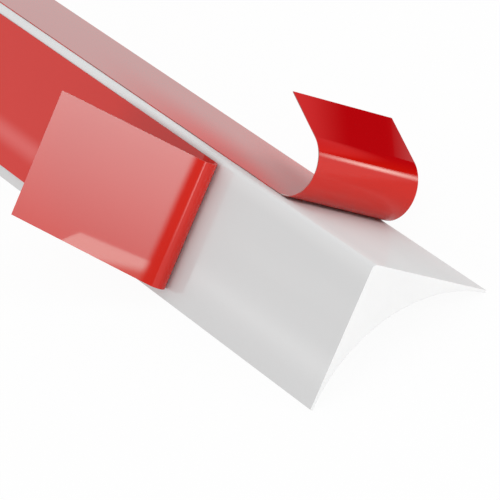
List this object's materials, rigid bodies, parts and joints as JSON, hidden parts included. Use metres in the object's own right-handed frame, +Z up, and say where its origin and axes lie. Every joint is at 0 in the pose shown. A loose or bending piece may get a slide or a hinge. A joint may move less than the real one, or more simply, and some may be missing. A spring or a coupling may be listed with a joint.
{
  "type": "flexible trim strip",
  "caption": "Flexible cove trim strip with a right-angled back and a hollow quarter-round face; red release liners cover the bonding legs and are peeled back at the front end.",
  "frame": {"origin": "on the floor under the heel, at mid-length", "axes": "+X along the strip towards the peeled front end, +Z up through the heel, +Y towards the right leg's tip"},
  "size_m": [1, 0.0571, 0.0295],
  "materials": {
    "strip": "white soft silicone rubber, satin",
    "liner": "glossy red release film"
  },
  "bodies": {
    "root": {"trim_strip": "strip", "left_liner": "liner", "right_liner": "liner"}
  },
  "joints": []
}
